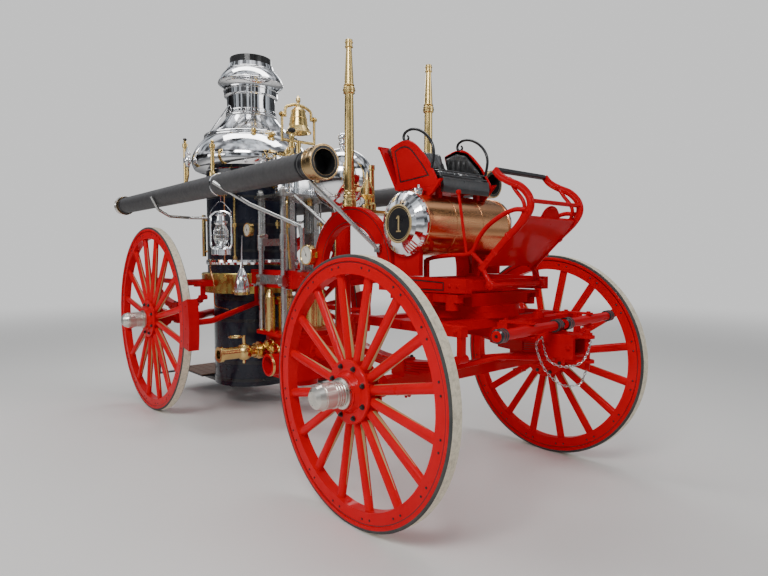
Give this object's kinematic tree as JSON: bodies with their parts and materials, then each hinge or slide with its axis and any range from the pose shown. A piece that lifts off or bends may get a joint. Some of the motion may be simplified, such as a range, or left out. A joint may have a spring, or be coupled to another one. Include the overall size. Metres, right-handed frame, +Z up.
{
  "type": "horse-drawn steam fire engine",
  "caption": "Horse-drawn steam fire engine with an upright boiler, steam pump, crane-neck frame, turning fore carriage and driver's seat.",
  "frame": {"origin": "on the ground under the middle of the machine's box", "axes": "+X forward towards the pole, +Y to the machine's left, +Z up"},
  "size_m": [3.9669, 1.822, 2.602],
  "materials": {
    "red_paint": "gloss",
    "red_wood": "gloss",
    "tyre_rubber": "matt",
    "nickel": "polished",
    "brass": "polished",
    "copper": "polished",
    "blued_shell": "gloss",
    "black_iron": "gloss",
    "bright_steel": "brushed",
    "black_leather": "satin",
    "hose_rubber": "matt"
  },
  "bodies": {
    "chassis": {"air_chamber": "nickel", "bell_bracket": "brass", "boiler_brass_band": "brass", "boiler_chrome_jacket": "nickel", "boiler_fittings": "brass", "boiler_shell": "blued_shell", "brake_gear": "red_paint", "crane_neck_frame": "red_paint", "discharge_pipe": "red_paint", "engine_frame": "bright_steel", "fifth_wheel_upper": "red_paint", "footboard": "red_paint", "gauges": "nickel", "handrail": "black_iron", "hose_couplings": "brass", "hose_cradles": "nickel", "lantern": "nickel", "oil_can": "nickel", "playpipes": "brass", "pump_body": "red_paint", "pump_brass": "brass", "rear_axle": "red_paint", "rear_frame": "red_paint", "rear_platform": "black_iron", "rear_springs": "red_paint", "seat_cushions": "black_leather", "seat_frame": "red_paint", "seat_irons": "black_iron", "shelf_finials": "brass", "smoke_stack": "nickel", "stack_liner": "black_iron", "steam_cylinders": "nickel", "suction_hoses": "hose_rubber", "tank_barrel": "copper", "tank_ends": "nickel"},
    "fore_carriage": {"fifth_wheel_lower": "red_paint", "front_axle": "red_paint", "front_springs": "red_paint", "draft_frame": "red_paint"},
    "doubletree_body": {"doubletree": "red_paint"},
    "singletree_body_right": {"singletree_right": "red_paint"},
    "singletree_body_left": {"singletree_left": "red_paint"},
    "fire_door_body": {"fire_door": "black_iron"},
    "bell_body": {"bell": "brass"},
    "crosshead_body_right": {"crosshead_right": "bright_steel"},
    "crosshead_body_left": {"crosshead_left": "bright_steel"},
    "front_wheel_right": {"tyre_front_right": "tyre_rubber", "wheel_front_right": "red_wood", "hub_cap_front_right": "nickel"},
    "front_wheel_left": {"tyre_front_left": "tyre_rubber", "wheel_front_left": "red_wood", "hub_cap_front_left": "nickel"},
    "rear_wheel_right": {"tyre_rear_right": "tyre_rubber", "wheel_rear_right": "red_wood", "hub_cap_rear_right": "nickel"},
    "rear_wheel_left": {"tyre_rear_left": "tyre_rubber", "wheel_rear_left": "red_wood", "hub_cap_rear_left": "nickel"}
  },
  "joints": [
    {"name": "steering", "type": "hinge", "parent": "chassis", "child": "fore_carriage", "pos_m": [1.3235, 0, 0.86], "axis": [0, 0, 1], "range_deg": [-60, 60]},
    {"name": "front_wheel_right_spin", "type": "hinge", "parent": "fore_carriage", "child": "front_wheel_right", "pos_m": [1.3235, -0.702, 0.559], "axis": [0, 1, 0], "continuous": true},
    {"name": "front_wheel_left_spin", "type": "hinge", "parent": "fore_carriage", "child": "front_wheel_left", "pos_m": [1.3235, 0.702, 0.559], "axis": [0, 1, 0], "continuous": true},
    {"name": "rear_wheel_right_spin", "type": "hinge", "parent": "chassis", "child": "rear_wheel_right", "pos_m": [-1.0625, -0.702, 0.66], "axis": [0, 1, 0], "continuous": true},
    {"name": "rear_wheel_left_spin", "type": "hinge", "parent": "chassis", "child": "rear_wheel_left", "pos_m": [-1.0625, 0.702, 0.66], "axis": [0, 1, 0], "continuous": true},
    {"name": "doubletree_swing", "type": "hinge", "parent": "fore_carriage", "child": "doubletree_body", "pos_m": [1.7235, 0, 0.822], "axis": [0, 0, 1], "range_deg": [-15.5, 4.5]},
    {"name": "singletree_right_swing", "type": "hinge", "parent": "doubletree_body", "child": "singletree_body_right", "pos_m": [1.8564, -0.25343, 0.822], "axis": [0, 0, 1], "range_deg": [-12, 12]},
    {"name": "singletree_left_swing", "type": "hinge", "parent": "doubletree_body", "child": "singletree_body_left", "pos_m": [1.8056, 0.27413, 0.822], "axis": [0, 0, 1], "range_deg": [-12, 12]},
    {"name": "fire_door_hinge", "type": "hinge", "parent": "chassis", "child": "fire_door_body", "pos_m": [-1.181, 0.14, 0.475], "axis": [0, 0, -1], "range_deg": [0, 110]},
    {"name": "bell_swing", "type": "hinge", "parent": "chassis", "child": "bell_body", "pos_m": [-0.1885, 0, 2.056], "axis": [0, 1, 0], "range_deg": [-30, 30]},
    {"name": "crosshead_right_stroke", "type": "slide", "parent": "chassis", "child": "crosshead_body_right", "axis": [0, 0, 1], "range_m": [-0.09, 0.09]},
    {"name": "crosshead_left_stroke", "type": "slide", "parent": "chassis", "child": "crosshead_body_left", "axis": [0, 0, 1], "range_m": [-0.09, 0.09]}
  ],
  "couplings": [
    {"joint": "crosshead_left_stroke", "follows": "crosshead_right_stroke", "ratio": -1}
  ]
}
